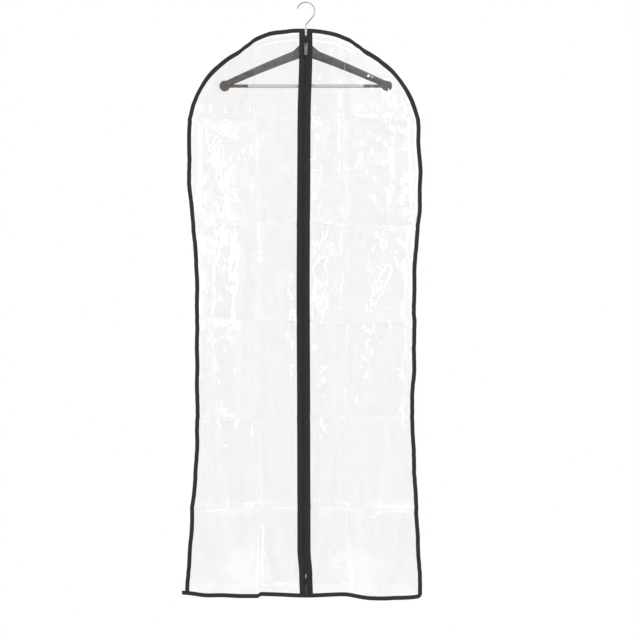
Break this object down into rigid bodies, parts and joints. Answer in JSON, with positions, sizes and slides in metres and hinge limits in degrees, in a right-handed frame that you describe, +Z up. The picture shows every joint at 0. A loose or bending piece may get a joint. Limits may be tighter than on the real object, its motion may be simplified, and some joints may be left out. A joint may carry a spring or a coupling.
{
  "type": "garment bag",
  "caption": "Hanging garment bag of clear film with an arched shoulder, a black bound edge, a full-length front zip and a hanger with a swivel hook.",
  "frame": {"origin": "the inside top of the hook's bow, where it sits on a rail", "axes": "+Z up, front (the zip) faces -Y, +X to the right of someone facing the zip"},
  "size_m": [0.578, 0.0579, 1.4412],
  "materials": {
    "hook_wire": "polished",
    "hanger_wood": "satin varnish",
    "ferrule_chrome": "polished",
    "bar_wood": "satin varnish",
    "clear_tube": "clear soft plastic",
    "screw_steel": "zinc plated",
    "clear_film": "clear plastic film with soft creases",
    "binding_cloth": "matt black binding",
    "thread": "black thread",
    "zip_tape": "black ribbed tape",
    "zip_coil": "black nylon coil",
    "stop_metal": "plain",
    "slider_metal": "dull nickel"
  },
  "bodies": {
    "hook": {"hook": "hook_wire"},
    "bag": {"hanger_yoke": "hanger_wood", "neck_ferrule": "ferrule_chrome", "trouser_bar": "bar_wood", "bar_grip_sleeve": "clear_tube", "bar_screws": "screw_steel", "back_panel": "clear_film", "left_binding": "binding_cloth", "right_binding": "binding_cloth", "left_binding_stitching": "thread", "right_binding_stitching": "thread", "top_stops": "stop_metal", "bottom_stop": "stop_metal"},
    "left_flap": {"left_front_panel": "clear_film", "left_zip_tape": "zip_tape", "left_zip_coil": "zip_coil", "left_zip_stitching": "thread"},
    "right_flap": {"right_front_panel": "clear_film", "right_zip_tape": "zip_tape", "right_zip_coil": "zip_coil", "right_zip_stitching": "thread"},
    "slider": {"slider_body": "slider_metal", "slider_bail": "slider_metal"},
    "puller": {"puller": "slider_metal"}
  },
  "joints": [
    {"name": "hook_swivel", "type": "hinge", "parent": "hook", "child": "bag", "pos_m": [0, 0, -0.1], "axis": [0, 0, 1], "continuous": true},
    {"name": "left_flap_open", "type": "hinge", "parent": "bag", "child": "left_flap", "pos_m": [-0.28, 0, -0.75], "axis": [0, 0, -1], "range_deg": [0, 30], "deforming": ["left_front_panel", "left_zip_tape", "left_zip_coil", "left_zip_stitching"]},
    {"name": "right_flap_open", "type": "hinge", "parent": "bag", "child": "right_flap", "pos_m": [0.28, 0, -0.75], "axis": [0, 0, 1], "range_deg": [0, 30], "deforming": ["right_front_panel", "right_zip_tape", "right_zip_coil", "right_zip_stitching"]},
    {"name": "zip_slide", "type": "slide", "parent": "bag", "child": "slider", "axis": [0, 0, -1], "range_m": [0, 1.2855]},
    {"name": "puller_swing", "type": "hinge", "parent": "slider", "child": "puller", "pos_m": [0, -0.01405, -0.1015], "axis": [-1, 0, 0], "range_deg": [0, 150]}
  ],
  "couplings": [
    {"joint": "right_flap_open", "follows": "left_flap_open", "ratio": 1},
    {"joint": "zip_slide", "follows": "left_flap_open", "m_per_rad": 2.455}
  ]
}
